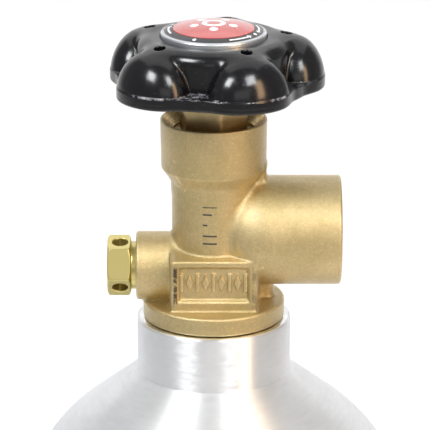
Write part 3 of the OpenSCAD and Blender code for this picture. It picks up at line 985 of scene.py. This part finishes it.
class CYL_OT_add_etched_marks(bpy.types.Operator):
    """Adds the plain etched tally strokes on the column"""

    bl_idname = "cylinder.add_etched_marks"
    bl_label = "Etched marks"

    def execute(self, context):
        s = context.scene.valve_sizes
        verts, faces = [], []
        strokes = [(0.0, 4.6), (2.6, 4.6), (6.3, 1.5), (9.9, 3.0), (12.5, 4.6), (15.1, 3.0)]
        left, low, thick = -3.6 * MM, 29.4 * MM, 0.55 * MM
        sunk, raised = -0.05 * MM, 0.03 * MM
        steps = 8
        for rise, length in strokes:
            start = len(verts)
            for lift in (sunk, raised):
                for k in range(steps + 1):
                    x = left + length * MM * k / steps
                    y = -math.sqrt((s.column_radius + lift) ** 2 - x * x)
                    for z in (low + rise * MM, low + rise * MM + thick):
                        verts.append((x, y, NECK_TOP + z))
            row = 2 * (steps + 1)
            for k in range(steps):
                a, b = start + 2 * k, start + row + 2 * k
                faces += [(b, b + 2, b + 3, b + 1), (a, a + 1, a + 3, a + 2)]
                faces += [(a, a + 2, b + 2, b), (a + 1, b + 1, b + 3, a + 3)]
            a, b = start, start + row
            faces.append((a, b, b + 1, a + 1))
            a, b = start + row - 2, start + 2 * row - 2
            faces.append((a, a + 1, b + 1, b))
        mesh = new_mesh("etched_marks", verts, faces)
        add_piece("etched_marks", mesh, "root", ["etched_dark"])
        return {"FINISHED"}


# ---------------------------------------------- the turned brass pieces


CHAMFER_ACROSS, CHAMFER_ALONG = 0.5, 0.866      # sine and cosine of a hexagon's 30 degree chamfer


class CYL_OT_add_bonnet(bpy.types.Operator):
    """Adds the hexagon bonnet nut"""

    bl_idname = "cylinder.add_bonnet"
    bl_label = "Bonnet nut"

    def execute(self, context):
        hex_low, hex_top = 64.5 * MM, 74 * MM
        flats = 20.64 * MM
        round_r = (NUT_HIGH.x - NUT_LOW.x) / 2

        def field(x, y, z):
            up = z - NECK_TOP
            r = np.hypot(x, y)
            thread = slab(r, up, round_r, NUT_LOW.z - NECK_TOP, hex_low, 0.5 * MM)
            ends = np.abs(up - (hex_low + hex_top) / 2) - (hex_top - hex_low) / 2 - 0.5 * MM
            six = common(hexagon(x, y, flats, math.radians(10)), ends, 0.3 * MM)
            turned_off = ((r - flats / 2 - 0.3 * MM) * CHAMFER_ACROSS
                          + (up - hex_top) * CHAMFER_ALONG)
            six = common(common(six, turned_off, 0.3 * MM), r - flats / 2 * 1.135, 0.5 * MM)
            top = slab(r, up, 9 * MM, hex_top - 1 * MM, NUT_HIGH.z - NECK_TOP, 0.5 * MM)
            shape = join(join(thread, six, 0.3 * MM), top, 0.4 * MM)
            return cut(shape, r - 4.8 * MM, 0.3 * MM)

        mesh = surface("bonnet", field, NUT_LOW, NUT_HIGH, 0.22 * MM)
        add_piece("bonnet", mesh, "root", ["bonnet_brass"], ["bonnet_nut"])
        return {"FINISHED"}


class CYL_OT_add_relief_plug(bpy.types.Operator):
    """Adds the vented hexagon relief plug"""

    bl_idname = "cylinder.add_relief_plug"
    bl_label = "Relief plug"

    def execute(self, context):
        s = context.scene.valve_sizes
        turn = s.relief_turn
        hex_start, hex_end = 27.4 * MM, -PLUG_LOW.x
        flats = 17.46 * MM
        vent_at, vent_r = 30.9 * MM, 2.6 * MM
        bore_r = 4 * MM

        def field(x, y, z):
            out = -x
            up = z - NECK_TOP - s.relief_height
            r = np.hypot(y, up)
            shank = slab(r, out, 7.9 * MM, -PLUG_HIGH.x, hex_start + 1 * MM, 0.3 * MM)
            middle, half = (hex_start + hex_end) / 2, (hex_end - hex_start) / 2
            six = common(hexagon(-y, up, flats, turn), np.abs(out - middle) - half, 0.25 * MM)
            turned_off = ((r - flats / 2 - 0.2 * MM) * CHAMFER_ACROSS
                          + (np.abs(out - middle) - half) * CHAMFER_ALONG)
            six = common(common(six, turned_off, 0.2 * MM), r - flats / 2 * 1.15, 0.2 * MM)
            shape = join(shank, six, 0.5 * MM)
            for k in range(3):
                a = turn + math.radians(60 + 120 * k)
                along = -y * math.cos(a) + up * math.sin(a)
                side = y * math.sin(a) + up * math.cos(a)
                hole = common(np.hypot(side, out - vent_at) - vent_r, -along)
                shape = cut(shape, hole, 0.35 * MM)
            bore = common(r - bore_r, out - vent_at - vent_r)
            return cut(shape, bore, 0.2 * MM)

        mesh = surface("relief_plug_hex", field, PLUG_LOW, PLUG_HIGH, 0.19 * MM)
        add_piece("relief_plug_hex", mesh, "root",
                  ["relief_brass"], ["relief_plug"])
        return {"FINISHED"}


# ---------------------------------------------- the handwheel and its label


def wheel_field(s):
    """The moulded handwheel as a distance in the row's frame."""
    low, deck = WHEEL_LOW.z - NECK_TOP, WHEEL_HIGH.z - NECK_TOP
    parting = s.parting_height
    sector = 2 * math.pi / s.lobes
    label_r = PLATE_HIGH.x + 0.15 * MM
    label_floor = PLATE_LOW.z - NECK_TOP
    hub_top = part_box("wheel_hub")[1].z - NECK_TOP
    hub_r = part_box("wheel_hub")[1].x
    proud = 0.12 * MM                   # how far the skirt stands out from the lobes
    dimple_at, dimple_aside, dimple_r = 23.7 * MM, 0.4 * MM, 1.85 * MM

    def field(x, y, z):
        up = z - NECK_TOP
        r = np.hypot(x, y)
        t = (np.arctan2(y, x) - s.lobe_angle + sector / 2) % sector - sector / 2
        u, v = r * np.cos(t) - s.lobe_centre, r * np.sin(t)
        lobe = dome(u, v, np.maximum(up - s.lobe_widest, 0), s.lobe_radial, s.lobe_across,
                    s.lobe_top - s.lobe_widest)
        upper = slab(r, up, s.deck_radius, parting - 5 * MM, deck, 4.4 * MM)
        near_deck = np.clip((up - s.lobe_top + 5 * MM) / (5 * MM), 0, 1)
        upper = join(upper, lobe, (0.9 + 4 * near_deck) * MM)
        upper = common(upper, parting - 2 * MM - up)
        skirt = dome(u, v, np.zeros_like(u), s.lobe_radial + proud, s.lobe_across + proud, MM)
        skirt = join(skirt, r - s.skirt_radius, 3 * MM)
        skirt = common(skirt, up - parting, 0.3 * MM)
        skirt = common(skirt, low - up, 1.0 * MM)
        shape = join(upper, skirt, 0.3 * MM)
        pocket = common(r - label_r, label_floor - up, 0.3 * MM)
        shape = cut(shape, pocket, 0.5 * MM)
        nut_room = common(r - 9 * MM, hub_top - up)
        spring_room = common(r - hub_r - 0.05 * MM, up - hub_top - 0.1 * MM, 0.2 * MM)
        shape = cut(cut(shape, nut_room, 0.3 * MM), spring_room, 0.5 * MM)
        dimple = np.hypot(u + s.lobe_centre - dimple_at, v - dimple_aside) - dimple_r
        dimple = common(dimple, deck - 2.5 * MM - up)
        return cut(shape, dimple, 0.35 * MM)

    return field


class CYL_OT_add_handwheel(bpy.types.Operator):
    """Adds the lobed black handwheel"""

    bl_idname = "cylinder.add_handwheel"
    bl_label = "Handwheel"

    def execute(self, context):
        s = context.scene.wheel_sizes
        field = wheel_field(s)
        reach = s.lobe_centre + s.lobe_radial + 0.5 * MM
        step = 0.33 * MM
        mesh = surface("handwheel_moulding", field, (-reach, -reach, WHEEL_LOW.z),
                       (reach, reach, WHEEL_HIGH.z), step)
        true_normals(mesh, field, step)
        add_piece("handwheel_moulding", mesh, "wheel",
                  ["black_plastic"], ["handwheel"])
        return {"FINISHED"}


def flat_print(name, outlines, thick):
    """A thin closed print from flat outlines of (x, y) points."""
    verts, faces = [], []
    for outline in outlines:
        start, count = len(verts), len(outline)
        verts += [(x, y, z) for z in (0, thick) for x, y in outline]
        faces.append(tuple(start + i for i in reversed(range(count))))
        faces.append(tuple(start + count + i for i in range(count)))
        for i in range(count):
            j = (i + 1) % count
            faces.append((start + i, start + j, start + count + j, start + count + i))
    return new_mesh(name, verts, faces)


def ring_strip(inner, outer, start, end):
    """Outline of a short stretch of a ring."""
    strip = [polar(inner, start), polar(outer, start), polar(outer, end), polar(inner, end)]
    return strip if end > start else strip[::-1]


def curved_arrow(radius, width, start, sweep, head):
    """Strips of an arrow that follows a circle, as convex outlines; head is an angle as well."""
    steps = 12
    inner, outer = radius - width / 2, radius + width / 2
    shapes = [ring_strip(inner, outer, start + sweep * k / steps, start + sweep * (k + 1) / steps)
              for k in range(steps)]
    end, barb = start + sweep, 1.6 * width
    tip = [polar(radius - barb, end), polar(radius + barb, end),
           polar(radius, end + math.copysign(head, sweep))]
    return [*shapes, tip if sweep > 0 else tip[::-1]]


def dot(centre, radius):
    """A round outline."""
    around = 24
    points = [polar(radius, 2 * math.pi * i / around) for i in range(around)]
    return [(centre[0] + x, centre[1] + y) for x, y in points]


class CYL_OT_add_label(bpy.types.Operator):
    """Adds the label plate, its printed ring and the red badge"""

    bl_idname = "cylinder.add_label"
    bl_label = "Label"

    def execute(self, context):
        low, outer = PLATE_LOW.z, PLATE_HIGH.x
        badge_r, floor = BADGE_HIGH.x, BADGE_LOW.z
        bead = 0.75 * MM
        rim_r, line_r = outer - bead, outer - 1.15 * MM
        sink = 0.12 * MM                # how far the printed ring lies under the badge's dome
        thick, stuck = 0.07 * MM, 0.03 * MM

        def crown(r):
            return BADGE_HIGH.z - DOME_RADIUS + math.sqrt(DOME_RADIUS**2 - r * r)

        def over(start, end, steps, drop=0.0):
            return [(r, crown(r) - drop) for r in np.linspace(start, end, steps)]

        def add_print(name, outlines, drop=0.0):
            mesh = flat_print(name, outlines, thick)
            for v in mesh.vertices:
                v.co.z += crown(v.co.xy.length) - drop - stuck
            add_piece(name, mesh, "wheel", ["white_print"])

        outline = [(0, low), (outer - 0.3 * MM, low), (outer, low + 0.3 * MM)]
        outline += arc(rim_r, crown(rim_r) - bead, bead, 0, math.radians(82), 10)
        outline += over(rim_r - 0.03 * MM, line_r + 0.18 * MM, 3, 3 * sink)
        outline += over(line_r + 0.15 * MM, line_r, 2, sink)
        ring_starts = len(outline) - 1
        outline += over(line_r - 0.02 * MM, badge_r + 0.12 * MM, 8, sink)
        ring_ends = len(outline) - 1
        gap_r = badge_r + 0.1 * MM
        outline += [(gap_r, crown(badge_r) - 0.3 * MM), (gap_r, floor), (0, floor)]
        bands = [1 if ring_starts <= k < ring_ends else 0 for k in range(len(outline))]
        plate = lathe("label_dish", outline, 160, bands=bands)
        add_piece("label_dish", plate, "wheel",
                  ["label_metal", "black_print"], ["label_plate"])

        edge = 0.08 * MM
        outline = [(0, floor), (badge_r, floor), (badge_r, crown(badge_r) - edge)]
        outline += over(badge_r - edge, 0, 16)
        badge = lathe("badge_disc", outline, 128)
        add_piece("badge_disc", badge, "wheel", ["red_print"], ["label_badge"])

        arrows = []
        middle = (line_r + badge_r) / 2
        for k in range(4):
            start = math.radians(20 + 90 * k)
            sweep = math.radians(30 if k % 2 else -30)
            arrows += curved_arrow(middle, 0.55 * MM, start, sweep, 0.09)
            arrows.append(dot(polar(middle, start + math.radians(45)), 0.6 * MM))
        add_print("ring_arrows", arrows, sink)

        grips = [math.radians(54 + 72 * k) for k in range(5)]
        segments = [math.radians(12 * k) for k in range(30)]
        icon = [dot(polar(6.6 * MM, a), 1.4 * MM) for a in grips]
        icon += [ring_strip(2.4 * MM, 3.9 * MM, a, a + math.radians(12)) for a in segments]
        add_print("badge_icon", icon)
        return {"FINISHED"}


# ---------------------------------------------- the packed inner pieces


INNER_FINISHES = {
    "neck_o_ring": "seal_rubber",
    "bonnet_gasket": "soft_copper",
    "spring_washer": "plated_steel",
    "burst_disc": "plated_steel",
    "burst_gasket": "soft_copper",
    "stem": "turned_brass",
    "stem_o_ring": "seal_rubber",
    "stem_backup_ring": "seal_plastic",
    "stem_thrust_washer": "seal_plastic",
    "wheel_spring": "plated_steel",
    "wheel_hub": "turned_brass",
    "wheel_washer": "plated_steel",
    "wheel_nut": "plated_steel",
    "seat_plug": "turned_brass",
    "seat_insert": "seal_plastic",
}


class CYL_OT_finish_inner_pieces(bpy.types.Operator):
    """Gives the packed inner pieces their finishes"""

    bl_idname = "cylinder.finish_inner_pieces"
    bl_label = "Inner pieces"

    def execute(self, context):
        for node, name in INNER_FINISHES.items():
            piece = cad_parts[node]
            piece.data.materials.clear()
            piece.data.materials.append(finish(name))
        return {"FINISHED"}


# ---------------------------------------------- the studio


def place_at(azimuth, elevation, distance, target):
    """A point around the target; azimuth 0 is in front, and positive is towards +X."""
    a, e = math.radians(azimuth), math.radians(elevation)
    away = Vector((math.sin(a) * math.cos(e), -math.cos(a) * math.cos(e), math.sin(e)))
    return target + away * distance


def aim(obj, target):
    """Points an object's -Z at the target."""
    obj.rotation_euler = (target - obj.location).to_track_quat("-Z", "Y").to_euler()


def softbox(name, where, target, wide, tall, glow, colour=(1, 1, 1), shines=True):
    """A rectangular light of a given radiance; shines is False if reflections don't show it."""
    data = bpy.data.lights.new(name, "AREA")
    data.shape = "RECTANGLE"
    data.size, data.size_y = wide, tall
    data.energy = glow * math.pi * wide * tall
    data.color = colour
    light = add_object(name, data)
    light.location = where
    light.visible_glossy = shines
    aim(light, target)


def add_camera(s, target):
    """The camera, in front and looking down at the target."""
    lens = bpy.data.cameras.new("photo_view")
    lens.lens = s.lens
    lens.sensor_width = 36
    camera = add_object("photo_view", lens)
    camera.location = place_at(0, math.degrees(s.view_down), s.distance, target)
    aim(camera, target)
    bpy.context.scene.camera = camera


def add_floor():
    """A pale floor that curves up into a backdrop."""
    wide, front, turn_y, bend, tall = 5.0, -3.0, 1.9, 0.9, 3.2
    path = [(front, 0.0), *arc(turn_y, bend, bend, -math.pi / 2, 0, 24), (turn_y + bend, tall)]
    verts = [(x, y, z) for y, z in path for x in (-wide, wide)]
    faces = [(2 * k, 2 * k + 1, 2 * k + 3, 2 * k + 2) for k in range(len(path) - 1)]
    mesh = new_mesh("floor_sweep", verts, faces)
    mesh.shade_smooth()
    mesh.materials.append(finish("white_paper"))
    floor = add_object("floor_sweep", mesh)


def add_lights(glow, target):
    """Softboxes and cards around the cylinder, and plain light on the backdrop."""
    cool, warm, plain = (0.97, 0.99, 1.0), (1.0, 0.66, 0.38), (1, 1, 1)
    for name, azimuth, elevation, distance, wide, tall, radiance, tone in (
            ("left_softbox", -46, 43, 1.25, 0.43, 0.42, glow, cool),
            ("right_softbox", 31, 43, 1.25, 0.41, 0.46, glow * 0.75, cool),
            ("warm_card", 48, 19, 1.3, 0.32, 0.8, glow * 0.42, warm),
            ("front_card", 6, 14, 2.2, 1.4, 0.7, 0.7, plain)):
        where = place_at(azimuth, elevation, distance, target)
        softbox(name, where, target, wide, tall, radiance, tone)
    softbox("overhead", Vector((0, 0.9, 2.4)), target, 3.0, 2.4, 0.75)
    backdrop = Vector((0, 2.6, 1.0))
    for name, x in (("backdrop_light_left", -1.8), ("backdrop_light_right", 1.8)):
        softbox(name, Vector((x, 0.9, 1.9)), backdrop, 0.8, 0.8, 25.0, shines=False)


def add_world():
    """Faint, even light from all round."""
    world = bpy.data.worlds.new("pale_room")
    world.use_nodes = True
    set_values(world.node_tree.nodes["Background"].inputs,
               {"Color": (0.97, 0.98, 1.0, 1), "Strength": 0.29})
    bpy.context.scene.world = world


class CYL_OT_add_stage(bpy.types.Operator):
    """Adds the floor sweep, the lights and the camera"""

    bl_idname = "cylinder.add_stage"
    bl_label = "Stage"

    def execute(self, context):
        s = context.scene.stage_sizes
        target = Vector((0.4 * MM, 0, NECK_TOP + s.target_height))
        add_camera(s, target)
        add_floor()
        add_lights(s.softbox_glow, target)
        add_world()
        context.scene.view_settings.view_transform = "Standard"
        return {"FINISHED"}


OPERATORS = (
    CYL_OT_add_cylinder,
    CYL_OT_add_valve_body,
    CYL_OT_add_etched_marks,
    CYL_OT_add_bonnet,
    CYL_OT_add_relief_plug,
    CYL_OT_add_handwheel,
    CYL_OT_add_label,
    CYL_OT_finish_inner_pieces,
    CYL_OT_add_stage,
)


class CYL_PT_pieces(bpy.types.Panel):
    """Lists the pieces and their sizes"""

    bl_idname = "CYL_PT_pieces"
    bl_label = "Gas Cylinder"
    bl_space_type = "VIEW_3D"
    bl_region_type = "UI"
    bl_category = "Cylinder"

    def draw(self, context):
        for operator in OPERATORS:
            self.layout.operator(operator.bl_idname)
        for name, group in SETTINGS.items():
            box = self.layout.box()
            box.label(text=group.__doc__.split(".")[0])
            for key in group.__annotations__:
                box.prop(getattr(context.scene, name), key)


def register():
    for group in SETTINGS.values():
        bpy.utils.register_class(group)
    for name, group in SETTINGS.items():
        setattr(bpy.types.Scene, name, bpy.props.PointerProperty(type=group))
    for operator in OPERATORS:
        bpy.utils.register_class(operator)
    bpy.utils.register_class(CYL_PT_pieces)


def unregister():
    bpy.utils.unregister_class(CYL_PT_pieces)
    for operator in reversed(OPERATORS):
        bpy.utils.unregister_class(operator)
    for name in SETTINGS:
        delattr(bpy.types.Scene, name)
    for group in reversed(SETTINGS.values()):
        bpy.utils.unregister_class(group)


def main():
    """Builds every piece and the stage."""
    register()
    for operator in OPERATORS:
        group, _, name = operator.bl_idname.partition(".")
        getattr(getattr(bpy.ops, group), name)()


if __name__ == "__main__":
    main()
